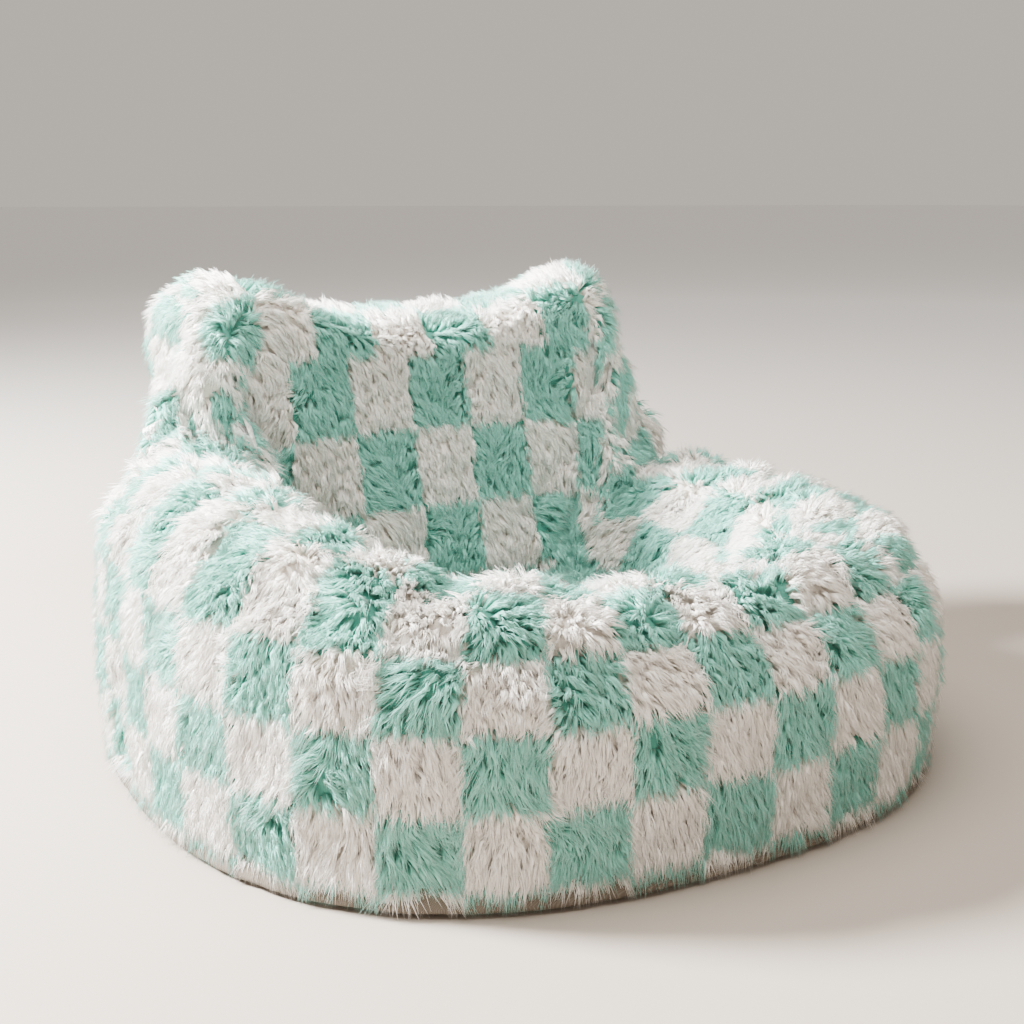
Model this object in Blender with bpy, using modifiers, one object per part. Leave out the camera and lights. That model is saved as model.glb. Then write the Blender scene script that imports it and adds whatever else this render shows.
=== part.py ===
"""A plush bean bag armchair: a long-pile cover with a raised back, over a zipped inner bag of fill.

Metres, +Z up. The origin is on the floor under the middle of the bag, and -Y is the front.
The bag's surface is a stack of closed rings, each a rounded rectangle in plan, that runs from
the middle of the base, up the outer wall, over the rim or the back rest, down inside and across
the seat. Every soft layer is cut from that surface at its own depth under the tips of the pile.
"""

import math

import bmesh
import bpy
import numpy as np
from mathutils import Matrix

# Overall sizes
HALF_WIDTH = 0.508
HALF_DEPTH = 0.490
FRONT_HEIGHT = 0.302
LEFT_ARM_HEIGHT = 0.388
RIGHT_ARM_HEIGHT = 0.316
SEAT_HEIGHT = 0.175
RIM_WIDTH = 0.270

# Lower wall: heights of the rings below the rim
BASE_EDGE_HEIGHT = 0.030
LOW_WALL_HEIGHT = 0.085
BULGE_HEIGHT = 0.150

# Back rest
BACK_HEIGHT = 0.558
EAR_RISE = 0.042
BACK_HALF_WIDTH = 0.65 * HALF_WIDTH
BACK_THICKNESS = 0.250
BACK_FOOT_Y = 0.165
BACK_LEAN = math.radians(14)
REAR_SHOULDER_HEIGHT = 0.48 * BACK_HEIGHT
REAR_WALL_TOP = 0.72 * BACK_HEIGHT
REAR_BEND_HEIGHT = 0.87 * BACK_HEIGHT
CORNER_SWELL = 0.024

# Angles round the bag, in degrees from the front
RIM_START = 12
ARM_FULL = 95
ARM_END = 117
BACK_EDGE = 131
EAR_ANGLE = 139
CORNER_ANGLE = 146
PEAK_WIDTH = 12

# Layers, from the tips of the pile inwards
PILE_PANEL = 0.020
BASE_CLOTH = 0.0025
LINER_CLOTH = 0.0012
LAYER_GAP = 0.0004
FILL_GAP = 0.0070
SEAM_GAP = 0.0004

# Zips: a chain on two tapes, in front of the layer that it opens
TAPE_WIDTH = 0.0125
TAPE_THICK = 0.0008
CHAIN_WIDTH = 0.0028
CHAIN_HEIGHT = 0.0018
CHAIN_GAP = 0.00015
TOOTH_END = 0.0120
ZIP_BOTTOM = 0.058
ZIP_TOP = REAR_WALL_TOP - 0.010
LINER_ZIP_BOTTOM = 0.070
LINER_ZIP_TOP = ZIP_TOP - 0.030
STOP_LENGTH = 0.0045
STOP_HEIGHT = 0.0012
SLIDER_LENGTH = 0.0140
SLIDER_PLATE = 0.0014
SLIDER_WALL = 0.0014
SLIDER_CLEARANCE = 0.0004
SLIT_WIDTH = 0.0050
CHANNEL_WIDTH = 0.0160
CHANNEL_MARGIN = 0.0020
LUG_WIDTH = 0.0030
LUG_LENGTH = 0.0050
LUG_HEIGHT = 0.0032
PIN_STANDOFF = 0.0018
PIN_RADIUS = 0.0006
PIN_CLEARANCE = 0.00015
TAB_WIDTH = 0.0070
TAB_LENGTH = 0.0240
TAB_THICK = 0.0012
TAB_CROWN = 0.0015
FORK_DEPTH = 0.0040
FORK_GAP = 0.0003

# Depth of the inner bag under the tips: the pile, a tape, and a closed zip with its slider
ZIP_STACK = TAPE_THICK + CHAIN_HEIGHT + SLIDER_CLEARANCE + SLIDER_PLATE
LINER_DEPTH = PILE_PANEL + TAPE_THICK + ZIP_STACK + 3 * LAYER_GAP

# Cells of the surface round the bag, and the angles of its seams in degrees from the front
COLUMNS = 96
NORMAL_SMOOTHING = 8
WELD = 0.00002
SIDE_SEAM = 95
ARM_SEAM = 40
BACK_SEAM = 130


def smooth(x, low, high):
    """0 below low, 1 above high, and an even ease between them."""
    u = np.clip((x - low) / (high - low), 0, 1)
    return u * u * (3 - 2 * u)


def bump(x, middle, width):
    return np.exp(-(((x - middle) / width) ** 2))


def mix(front, rear, share):
    return front * (1 - share) + rear * share


def back_face_y(z):
    """How far back the front of the back rest lies at a height."""
    return BACK_FOOT_Y + (z - SEAT_HEIGHT) * math.tan(BACK_LEAN)


def front_rings(rim):
    """Inset from the widest outline, height and squareness of each ring at the front and sides."""
    flat = 0 * rim
    inner = rim - 0.055
    drop = inner - SEAT_HEIGHT
    return [
        (0.018, flat, 2.5),
        (0.005, BASE_EDGE_HEIGHT + flat, 2.5),
        (0.001, LOW_WALL_HEIGHT + flat, 2.55),
        (0.000, BULGE_HEIGHT + flat, 2.55),
        (0.008, 0.72 * rim, 2.55),
        (0.11 * RIM_WIDTH, rim - 0.042, 2.6),
        (0.25 * RIM_WIDTH, rim - 0.008, 2.6),
        (0.45 * RIM_WIDTH, rim, 2.6),
        (0.65 * RIM_WIDTH, rim - 0.012, 2.7),
        (0.81 * RIM_WIDTH, inner, 2.8),
        (0.93 * RIM_WIDTH, SEAT_HEIGHT + 0.58 * drop, 2.9),
        (1.00 * RIM_WIDTH, SEAT_HEIGHT + 0.28 * drop, 3.0),
        (1.09 * RIM_WIDTH, SEAT_HEIGHT + flat, 3.0),
    ]


def rear_rings(top):
    """Half width, half depth, height, squareness and corner swell of each ring at the back."""
    flat = 0 * top
    brow = back_face_y(top - 0.035)
    crown = brow + 0.38 * BACK_THICKNESS
    rear_bend = crown + 0.50 * BACK_THICKNESS
    rear_brow = crown + 0.32 * BACK_THICKNESS
    low_z = mix(SEAT_HEIGHT, BACK_HEIGHT, 0.33)
    middle_z = mix(SEAT_HEIGHT, BACK_HEIGHT, 0.67)
    half = BACK_HALF_WIDTH
    return [
        (HALF_WIDTH - 0.018, HALF_DEPTH - 0.010, flat, 2.5, 0),
        (HALF_WIDTH - 0.005, HALF_DEPTH, BASE_EDGE_HEIGHT + flat, 2.5, 0),
        (HALF_WIDTH - 0.001, HALF_DEPTH, LOW_WALL_HEIGHT + flat, 2.55, 0),
        (HALF_WIDTH, HALF_DEPTH, BULGE_HEIGHT + flat, 2.55, 0),
        (HALF_WIDTH - 0.022, HALF_DEPTH, REAR_SHOULDER_HEIGHT + flat, 2.55, 0),
        (half + 0.085, HALF_DEPTH, REAR_WALL_TOP + flat, 3.0, 0.50 * CORNER_SWELL),
        (half + 0.020, rear_bend, REAR_BEND_HEIGHT + flat, 7.0, CORNER_SWELL),
        (half + 0.014, rear_brow, top - 0.030, 7.0, 0.85 * CORNER_SWELL),
        (half, crown, top, 6.0, 0.30 * CORNER_SWELL),
        (half - 0.018, brow, top - 0.035, 6.0, 0),
        (half - 0.030, back_face_y(middle_z), middle_z + flat, 6.0, 0),
        (half - 0.068, back_face_y(low_z), low_z + flat, 6.0, 0),
        (half - 0.110, BACK_FOOT_Y, SEAT_HEIGHT + flat, 5.0, 0),
    ]


OUTER_RINGS = 5
SEAT_RINGS = ((0.69, 0.012), (0.36, 0.015), (0.0, 0.016))
BASE_RINGS = (0.0, 0.55)


def ring_points(turn, half_x, half_y, power, swell, z):
    across = np.abs(np.sin(turn) / half_x) ** power
    along = np.abs(np.cos(turn) / half_y) ** power
    reach = (across + along) ** (-1 / power) + swell
    return np.stack([reach * np.sin(turn), -reach * np.cos(turn), z + 0 * turn], -1)


def wall_rings(turn):
    """Points of the wall, rim, back rest and inner wall, a row for each ring and a column for each angle."""
    degrees = np.degrees(np.abs(turn))
    middle_arm = (LEFT_ARM_HEIGHT + RIGHT_ARM_HEIGHT) / 2
    arm = middle_arm + (RIGHT_ARM_HEIGHT - LEFT_ARM_HEIGHT) / 2 * np.sin(turn)
    rim = FRONT_HEIGHT + (arm - FRONT_HEIGHT) * smooth(degrees, RIM_START, ARM_FULL)
    top = BACK_HEIGHT + EAR_RISE * bump(degrees, EAR_ANGLE, PEAK_WIDTH)
    corner = bump(degrees, CORNER_ANGLE, PEAK_WIDTH)
    wall_share = smooth(degrees, ARM_END - 9, BACK_EDGE + 11)
    back_share = smooth(degrees, ARM_END, BACK_EDGE)
    rows = []
    for index, (front, rear) in enumerate(zip(front_rings(rim), rear_rings(top))):
        share = wall_share if index <= OUTER_RINGS else back_share
        inset, front_z, front_power = front
        rear_x, rear_y, rear_z, rear_power, swell = rear
        half_x = mix(HALF_WIDTH - inset, rear_x, share)
        half_y = mix(HALF_DEPTH - inset, rear_y, share)
        power = mix(front_power, rear_power, share)
        z = mix(front_z, rear_z, share)
        rows.append(ring_points(turn, half_x, half_y, power, swell * corner, z))
    return rows


def surface(turn):
    """The whole outer surface as rows of points, from the middle of the base to the middle of the seat."""
    wall = wall_rings(turn)
    base = [wall[0] * share for share in BASE_RINGS]
    seat = []
    for share, drop in SEAT_RINGS:
        half_x = max(share, 1e-6) * (HALF_WIDTH - 1.09 * RIM_WIDTH)
        half_y = max(share, 1e-6) * (HALF_DEPTH - 1.09 * RIM_WIDTH)
        seat.append(ring_points(turn, half_x, half_y, 2.4, 0, SEAT_HEIGHT - drop))
    return np.stack(base + wall + seat)


BASE_ROW = len(BASE_RINGS)
EDGE_ROW = BASE_ROW + 1
RIM_ROW = BASE_ROW + OUTER_RINGS
CROWN_ROW = BASE_ROW + 7
SEAT_ROW = BASE_ROW + 12
LAST_ROW = SEAT_ROW + len(SEAT_RINGS)


def surface_normals(points):
    """Outward directions of the surface at its own points, smoothed over the neighbours."""
    ahead = np.roll(points[:, :-1], -1, 1)
    behind = np.roll(points[:, :-1], 1, 1)
    around = np.concatenate([ahead - behind, (ahead - behind)[:, :1]], 1)
    along = np.gradient(points, axis=0)
    normal = np.cross(around, along)
    normal /= np.maximum(np.linalg.norm(normal, axis=-1, keepdims=True), 1e-12)
    for _ in range(NORMAL_SMOOTHING):
        beside = np.roll(normal[:, :-1], 1, 1) + np.roll(normal[:, :-1], -1, 1)
        beside = np.concatenate([beside, beside[:, :1]], 1)
        normal = (2 * normal + beside) / 4
    normal[: BASE_ROW + 1] = (0, 0, -1)
    normal[EDGE_ROW, :, 2] = 0
    normal[-1] = (0, 0, 1)
    return normal / np.maximum(np.linalg.norm(normal, axis=-1, keepdims=True), 1e-12)


TURNS = np.linspace(-math.pi, math.pi, COLUMNS + 1)
SURFACE = surface(TURNS)
NORMALS = surface_normals(SURFACE)


def layer(depth, base_depth):
    """The surface at a depth under the pile, and at another depth above the floor."""
    points = SURFACE - depth * NORMALS
    floor = SURFACE[:BASE_ROW + 1].copy()
    reach = np.linalg.norm(SURFACE[BASE_ROW, :, :2], axis=-1)
    shrink = np.where(base_depth > 0, 1 - depth / reach, 1)[:, None]
    floor[..., :2] *= shrink
    floor[..., 2] = base_depth
    points[:BASE_ROW + 1] = floor
    points[EDGE_ROW, :, 2] = SURFACE[EDGE_ROW, :, 2]
    points[:, -1] = points[:, 0]
    return points


def make_material(name, colour, roughness, metallic=0.0):
    material = bpy.data.materials.new(name)
    material.use_nodes = True
    shader = material.node_tree.nodes["Principled BSDF"]
    shader.inputs["Base Color"].default_value = (*colour, 1)
    shader.inputs["Roughness"].default_value = roughness
    shader.inputs["Metallic"].default_value = metallic
    return material


def plush():
    return make_material("mint_and_white_plush", (0.74, 0.90, 0.86), 0.95)


def woven_cloth():
    return make_material("beige_woven_cloth", (0.62, 0.57, 0.50), 0.90)


def liner_cloth():
    return make_material("white_liner_cloth", (0.88, 0.88, 0.86), 0.85)


def fill_beads():
    return make_material("white_bead_fill", (0.94, 0.94, 0.93), 0.70)


def tape_cloth():
    return make_material("mint_zip_tape", (0.50, 0.78, 0.72), 0.80)


def zip_metal():
    return make_material("nickel_zip_metal", (0.66, 0.66, 0.64), 0.32, 1.0)


def new_collection(name, helper=False):
    collection = bpy.data.collections.new(name)
    collection.hide_render = helper
    bpy.context.scene.collection.children.link(collection)
    return collection


def add_object(name, bm, material, collection, place=(0, 0, 0)):
    bmesh.ops.recalc_face_normals(bm, faces=bm.faces[:])
    mesh = bpy.data.meshes.new(name)
    bm.to_mesh(mesh)
    bm.free()
    if material:
        mesh.materials.append(material)
    part = bpy.data.objects.new(name, mesh)
    part.location = place
    collection.objects.link(part)
    return part


def surface_grid(keep):
    """A flat grid of the cells that keep(angle, row) picks, each vertex knowing its column and row."""
    bm = bmesh.new()
    column = bm.verts.layers.int.new("column")
    row = bm.verts.layers.int.new("row")
    bmesh.ops.create_grid(bm, x_segments=COLUMNS, y_segments=LAST_ROW, size=1)
    for vert in bm.verts:
        vert[column] = round((vert.co.x + 1) / 2 * COLUMNS)
        vert[row] = round((vert.co.y + 1) / 2 * LAST_ROW)
    lost = []
    for face in bm.faces:
        middle_column = sum(vert[column] for vert in face.verts) / 4
        middle_row = sum(vert[row] for vert in face.verts) / 4
        if not keep(angle_at(middle_column), middle_row):
            lost.append(face)
    bmesh.ops.delete(bm, geom=lost, context="FACES")
    return bm, column, row


def angle_at(column):
    """Degrees from the front at a column, which may lie past either end of the grid."""
    return (column % COLUMNS) / COLUMNS * 360 - 180


def seam_step(keep, column, row):
    """Which way a corner of the kept cells steps to leave a seam: -1, 0 or 1 in columns and in rows."""
    if row in (0, LAST_ROW):
        return 0, 0
    across = along = 0
    for d_column in (-0.5, 0.5):
        for d_row in (-0.5, 0.5):
            if keep(angle_at(column + d_column), row + d_row):
                across += d_column
                along += d_row
    return int(np.sign(across)), int(np.sign(along))


def seam_point(points, column, row, step):
    """A point of a layer, moved half a seam gap along the layer's own edges."""
    here = points[row, column]
    moved = here.copy()
    neighbours = ((row, (column + step[0]) % COLUMNS), (row + step[1], column))
    for beside in neighbours:
        edge = points[beside] - here
        length = np.linalg.norm(edge)
        if length > SEAM_GAP:
            moved += edge / length * SEAM_GAP / 2
    return moved


def place_verts(verts, layers, keep, points):
    column, row = layers
    for vert in verts:
        step = seam_step(keep, vert[column], vert[row])
        vert.co = seam_point(points, vert[column], vert[row], step)


def split_quads(bm, layers, inner=frozenset()):
    """Splits each four-sided face along the diagonal that every neighbour and layer also takes."""
    column, row = layers

    def order(vert):
        return vert[column] % COLUMNS + vert[row] + (vert in inner)

    for face in [face for face in bm.faces if len(face.verts) == 4]:
        ends = sorted(face.verts, key=order)
        bmesh.utils.face_split(face, ends[0], ends[-1])


def closed_surface(keep, points):
    """The kept cells laid on a layer, with the ends of the grid and its two poles welded."""
    bm, column, row = surface_grid(keep)
    place_verts(bm.verts, (column, row), keep, points)
    bmesh.ops.remove_doubles(bm, verts=bm.verts[:], dist=WELD)
    return bm, (column, row)


def soft_panel(name, keep, outer, inner, material, collection):
    """A panel of cloth between two layers, over the cells that keep() picks."""
    bm, layers = closed_surface(keep, outer)
    extruded = bmesh.ops.extrude_face_region(bm, geom=bm.faces[:], use_keep_orig=True)
    copies = [item for item in extruded["geom"] if isinstance(item, bmesh.types.BMVert)]
    place_verts(copies, layers, keep, inner)
    split_quads(bm, layers, set(copies))
    return add_object(name, bm, material, collection)


def whole(angle, row):
    return True


def is_base(angle, row):
    return row < EDGE_ROW


def is_front_side(angle, row):
    return EDGE_ROW < row < RIM_ROW and abs(angle) < SIDE_SEAM


def is_rear(angle, row):
    wall = EDGE_ROW < row < RIM_ROW and abs(angle) > SIDE_SEAM
    lobe = RIM_ROW < row < CROWN_ROW and abs(angle) > BACK_SEAM
    return wall or lobe


def is_left_rear(angle, row):
    return angle < 0 and is_rear(angle, row)


def is_right_rear(angle, row):
    return angle > 0 and is_rear(angle, row)


def is_front_rim(angle, row):
    return RIM_ROW < row < SEAT_ROW and abs(angle) < ARM_SEAM


def is_left_arm(angle, row):
    return RIM_ROW < row < SEAT_ROW and -BACK_SEAM < angle < -ARM_SEAM


def is_right_arm(angle, row):
    return RIM_ROW < row < SEAT_ROW and ARM_SEAM < angle < BACK_SEAM


def is_back_front(angle, row):
    return CROWN_ROW < row < SEAT_ROW and abs(angle) > BACK_SEAM


def is_seat(angle, row):
    return row > SEAT_ROW


def box(name, low, high, material, collection, bevel=0.0):
    """A box between two corners, its origin at its middle."""
    low, high = np.array(low), np.array(high)
    bm = bmesh.new()
    bmesh.ops.create_cube(bm, size=1)
    bmesh.ops.scale(bm, vec=high - low, verts=bm.verts[:])
    part = add_object(name, bm, material, collection, (low + high) / 2)
    if bevel:
        modifier = part.modifiers.new("rounded_edges", "BEVEL")
        modifier.width = bevel
        modifier.segments = 2
        modifier.limit_method = "ANGLE"
    return part


def rod_across(name, radius, length, place, helpers):
    """A cylinder along X, for a pin or its hole."""
    bm = bmesh.new()
    bmesh.ops.create_cone(bm, cap_ends=True, segments=16, radius1=radius, radius2=radius, depth=length)
    bmesh.ops.rotate(bm, verts=bm.verts[:], matrix=Matrix.Rotation(math.pi / 2, 3, "Y"))
    return as_helper(add_object(name, bm, None, helpers, place))


def as_helper(part):
    part.hide_render = True
    part.display_type = "WIRE"
    return part


def boolean(part, other, operation="DIFFERENCE"):
    modifier = part.modifiers.new(other.name, "BOOLEAN")
    modifier.operation = operation
    modifier.object = other


def cover_panels(parts, helpers):
    """The plush panels of the cover, and the woven cloth under it."""
    fur = plush()
    tips = layer(0, 0)
    backing = layer(PILE_PANEL, BASE_CLOTH)
    for name, keep in (
        ("front_side_panel", is_front_side),
        ("left_rear_panel", is_left_rear),
        ("right_rear_panel", is_right_rear),
        ("front_rim_panel", is_front_rim),
        ("left_arm_panel", is_left_arm),
        ("right_arm_panel", is_right_arm),
        ("back_rest_panel", is_back_front),
        ("seat_panel", is_seat),
    ):
        panel = soft_panel(name, keep, tips, backing, fur, parts)
        if "rear" in name:
            boolean(panel, zip_channel(name, helpers))
    soft_panel("base_panel", is_base, tips, layer(BASE_CLOTH, BASE_CLOTH), woven_cloth(), parts)


def zip_channel(name, helpers):
    """The parting in the pile at the rear seam, where the cover's zip lies."""
    half = CHANNEL_WIDTH / 2
    low = (-half, HALF_DEPTH - 2 * PILE_PANEL, ZIP_BOTTOM - CHANNEL_MARGIN)
    high = (half, HALF_DEPTH + PILE_PANEL, ZIP_TOP + CHANNEL_MARGIN)
    return as_helper(box(name + "_channel", low, high, None, helpers))


def bag_surface(name, depth, base_depth, material, parts):
    """A closed surface at one depth under the pile all over."""
    bm, layers = closed_surface(whole, layer(depth, base_depth))
    split_quads(bm, layers)
    return add_object(name, bm, material, parts)


def inner_bag(parts, helpers):
    """The zipped inner bag, and the fill that it holds."""
    base = BASE_CLOTH + LAYER_GAP
    liner = bag_surface("inner_liner", LINER_DEPTH, base, liner_cloth(), parts)
    cloth = liner.modifiers.new("cloth", "SOLIDIFY")
    cloth.thickness = LINER_CLOTH
    cloth.offset = -1
    wall = HALF_DEPTH - LINER_DEPTH
    low = (-SLIT_WIDTH / 2, wall - 10 * LINER_CLOTH, LINER_ZIP_BOTTOM)
    high = (SLIT_WIDTH / 2, wall + 10 * LINER_CLOTH, LINER_ZIP_TOP)
    boolean(liner, as_helper(box("liner_slit", low, high, None, helpers)))
    inside = LINER_CLOTH + FILL_GAP
    bag_surface("bead_fill", LINER_DEPTH + inside, base + inside, fill_beads(), parts)


def zip_tapes(prefix, tape_back, bottom, top, cloth, parts, helpers):
    """Two tapes, each with its row of teeth along the edge that meets the other."""
    for side, sign in (("left", -1), ("right", 1)):
        edges = sorted((sign * CHAIN_GAP, sign * (CHAIN_GAP + TAPE_WIDTH)))
        low = (edges[0], tape_back, bottom)
        high = (edges[1], tape_back + TAPE_THICK, top)
        tape = box(f"{prefix}_{side}_tape", low, high, cloth, parts)
        edges = sorted((sign * CHAIN_GAP, sign * (CHAIN_GAP + CHAIN_WIDTH)))
        low = (edges[0], tape_back + TAPE_THICK / 2, bottom + TOOTH_END)
        high = (edges[1], tape_back + TAPE_THICK + CHAIN_HEIGHT, top - TOOTH_END)
        teeth = as_helper(box(f"{prefix}_{side}_teeth", low, high, None, helpers))
        boolean(tape, teeth, "UNION")


def zip_stops(prefix, tape_back, bottom, top, metal, parts):
    """A stop on each tape where the zip closes, and one across both where it ends."""
    front = tape_back + TAPE_THICK + CHAIN_HEIGHT + LAYER_GAP
    width = CHAIN_GAP + CHAIN_WIDTH
    for side, sign in (("left", -1), ("right", 1)):
        edges = sorted((sign * CHAIN_GAP, sign * width))
        low = (edges[0], front, bottom + TOOTH_END)
        high = (edges[1], front + STOP_HEIGHT, bottom + TOOTH_END + STOP_LENGTH)
        box(f"{prefix}_{side}_stop", low, high, metal, parts, STOP_HEIGHT / 4)
    low = (-width, front, top - TOOTH_END - STOP_LENGTH)
    high = (width, front + STOP_HEIGHT, top - TOOTH_END)
    box(f"{prefix}_end_stop", low, high, metal, parts, STOP_HEIGHT / 4)


def slider_middle(bottom):
    """Height of a slider's middle with its zip closed."""
    return bottom + TOOTH_END + STOP_LENGTH + SLIDER_CLEARANCE + SLIDER_LENGTH / 2


def zip_slider(prefix, tape_back, bottom, metal, parts, helpers):
    """A slider's front plate, with a wall down each side of the teeth."""
    chain_front = tape_back + TAPE_THICK + CHAIN_HEIGHT
    back = tape_back + TAPE_THICK + LAYER_GAP
    front = chain_front + SLIDER_CLEARANCE + SLIDER_PLATE
    inside = CHAIN_GAP + CHAIN_WIDTH + SLIDER_CLEARANCE
    half = inside + SLIDER_WALL
    middle = slider_middle(bottom)
    low = (-half, back, middle - SLIDER_LENGTH / 2)
    high = (half, front, middle + SLIDER_LENGTH / 2)
    slider = box(f"{prefix}_slider", low, high, metal, parts, SLIDER_PLATE / 3)
    low = (-inside, back - SLIDER_PLATE, middle - SLIDER_LENGTH)
    high = (inside, chain_front + SLIDER_CLEARANCE, middle + SLIDER_LENGTH)
    boolean(slider, as_helper(box(f"{prefix}_slider_groove", low, high, None, helpers)))
    return slider, front, middle


def zip_pull(prefix, slider, plate_front, middle, metal, parts, helpers):
    """The lug on a slider, and the tab that swings on its pin."""
    low = (-LUG_WIDTH / 2, plate_front - SLIDER_PLATE / 2, middle - LUG_LENGTH / 2)
    high = (LUG_WIDTH / 2, plate_front + LUG_HEIGHT, middle + LUG_LENGTH / 2)
    boolean(slider, as_helper(box(f"{prefix}_lug", low, high, None, helpers)), "UNION")
    pin = np.array((0, plate_front + PIN_STANDOFF, middle))
    hole = rod_across(f"{prefix}_lug_hole", PIN_RADIUS + PIN_CLEARANCE, 3 * LUG_WIDTH, pin, helpers)
    boolean(slider, hole)
    bm = bmesh.new()
    bmesh.ops.create_cube(bm, size=1)
    bmesh.ops.scale(bm, vec=(TAB_WIDTH, TAB_THICK, TAB_CROWN + TAB_LENGTH), verts=bm.verts[:])
    bmesh.ops.translate(bm, vec=(0, 0, (TAB_CROWN - TAB_LENGTH) / 2), verts=bm.verts[:])
    tab = add_object(f"{prefix}_pull_tab", bm, metal, parts, pin)
    edges = tab.modifiers.new("rounded_edges", "BEVEL")
    edges.width = TAB_THICK / 4
    edges.segments = 2
    half = LUG_WIDTH / 2 + FORK_GAP
    low = pin + (-half, -TAB_THICK, -FORK_DEPTH)
    high = pin + (half, TAB_THICK, 2 * TAB_CROWN)
    boolean(tab, as_helper(box(f"{prefix}_fork", low, high, None, helpers)))
    pin_length = TAB_WIDTH - TAB_THICK
    boolean(tab, rod_across(f"{prefix}_pin", PIN_RADIUS, pin_length, pin, helpers), "UNION")


def cover_zip(parts, helpers):
    """The cover's zip, closed with its slider at the foot of the rear seam."""
    metal, cloth = zip_metal(), tape_cloth()
    tape_back = HALF_DEPTH - PILE_PANEL - LAYER_GAP - TAPE_THICK
    zip_tapes("cover_zip", tape_back, ZIP_BOTTOM, ZIP_TOP, cloth, parts, helpers)
    zip_stops("cover_zip", tape_back, ZIP_BOTTOM, ZIP_TOP, metal, parts)
    slider, front, middle = zip_slider("cover_zip", tape_back, ZIP_BOTTOM, metal, parts, helpers)
    zip_pull("cover_zip", slider, front, middle, metal, parts, helpers)


def liner_zip(parts, helpers):
    """The inner bag's zip. Its slider has no tab, so that a child can't open it."""
    metal, cloth = zip_metal(), liner_cloth()
    tape_back = HALF_DEPTH - LINER_DEPTH + LAYER_GAP
    zip_tapes("liner_zip", tape_back, LINER_ZIP_BOTTOM, LINER_ZIP_TOP, cloth, parts, helpers)
    zip_stops("liner_zip", tape_back, LINER_ZIP_BOTTOM, LINER_ZIP_TOP, metal, parts)
    zip_slider("liner_zip", tape_back, LINER_ZIP_BOTTOM, metal, parts, helpers)


def main():
    for old in list(bpy.data.objects):
        bpy.data.objects.remove(old)
    parts = new_collection("bean_bag_chair")
    helpers = new_collection("cutters", helper=True)
    cover_panels(parts, helpers)
    inner_bag(parts, helpers)
    cover_zip(parts, helpers)
    liner_zip(parts, helpers)


main()
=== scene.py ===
"""How the plush bean bag chair looks: long-pile fur in a mint and white check over padded panels,
a woven base, the zips at the back, and the inner bag with its fill.

Metres, +Z up, -Y the front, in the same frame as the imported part.
"""

import math

import bmesh
import bpy
import numpy as np
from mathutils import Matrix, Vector


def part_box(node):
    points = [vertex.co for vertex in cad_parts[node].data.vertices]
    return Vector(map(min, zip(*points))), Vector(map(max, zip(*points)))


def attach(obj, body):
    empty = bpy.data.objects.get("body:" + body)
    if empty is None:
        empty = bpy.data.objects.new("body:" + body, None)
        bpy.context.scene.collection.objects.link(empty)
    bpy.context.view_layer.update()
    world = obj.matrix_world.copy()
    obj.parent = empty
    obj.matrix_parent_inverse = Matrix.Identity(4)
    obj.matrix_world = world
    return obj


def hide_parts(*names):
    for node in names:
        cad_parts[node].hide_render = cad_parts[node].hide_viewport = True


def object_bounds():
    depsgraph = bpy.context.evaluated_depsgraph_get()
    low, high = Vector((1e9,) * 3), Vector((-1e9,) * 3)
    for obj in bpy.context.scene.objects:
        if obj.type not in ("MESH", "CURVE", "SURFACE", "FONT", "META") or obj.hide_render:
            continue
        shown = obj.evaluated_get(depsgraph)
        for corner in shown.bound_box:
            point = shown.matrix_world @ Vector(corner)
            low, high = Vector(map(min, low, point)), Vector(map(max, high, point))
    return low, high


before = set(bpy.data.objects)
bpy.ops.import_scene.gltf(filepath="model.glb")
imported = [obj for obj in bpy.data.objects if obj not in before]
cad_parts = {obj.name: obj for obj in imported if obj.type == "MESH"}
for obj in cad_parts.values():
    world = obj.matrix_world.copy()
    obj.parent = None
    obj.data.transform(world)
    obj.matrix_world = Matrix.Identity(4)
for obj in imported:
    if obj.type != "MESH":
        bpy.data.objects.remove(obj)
CAD_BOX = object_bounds()

# The surface of the bag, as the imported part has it
HALF_WIDTH = (CAD_BOX[1][0] - CAD_BOX[0][0]) / 2
HALF_DEPTH = (CAD_BOX[1][1] - CAD_BOX[0][1]) / 2
FRONT_HEIGHT = 0.302
LEFT_ARM_HEIGHT = 0.388
RIGHT_ARM_HEIGHT = 0.316
SEAT_HEIGHT = 0.175
RIM_WIDTH = 0.270
BASE_EDGE_HEIGHT = 0.030
LOW_WALL_HEIGHT = 0.085
BULGE_HEIGHT = 0.150
BACK_HEIGHT = 0.558
EAR_RISE = 0.042
BACK_HALF_WIDTH = 0.65 * HALF_WIDTH
BACK_THICKNESS = 0.250
BACK_FOOT_Y = 0.165
BACK_LEAN = math.radians(14)
REAR_SHOULDER_HEIGHT = 0.48 * BACK_HEIGHT
REAR_WALL_TOP = 0.72 * BACK_HEIGHT
REAR_BEND_HEIGHT = 0.87 * BACK_HEIGHT
CORNER_SWELL = 0.024
RIM_START, ARM_FULL, ARM_END = 12, 95, 117
BACK_EDGE, EAR_ANGLE, CORNER_ANGLE, PEAK_WIDTH = 131, 139, 146, 12
SIDE_SEAM, ARM_SEAM, BACK_SEAM = 95, 40, 130
BASE_ROW, EDGE_ROW, BULGE_ROW, RIM_ROW, CROWN_ROW, SEAT_ROW, LAST_ROW = 2, 3, 5, 7, 9, 14, 17
ROW_STEPS = 6

# The cover, with depths measured inward from the tips of the pile
SKIN_DEPTH = 0.021
MOST_SWELL = 0.007
CREASE_DEPTH = 0.015
ZIP_LAP_DEPTH = 0.0182
LINER_DEPTH = 0.0268
BACKING_THICKNESS = 0.002
WOVEN_THICKNESS = 0.0015

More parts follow.
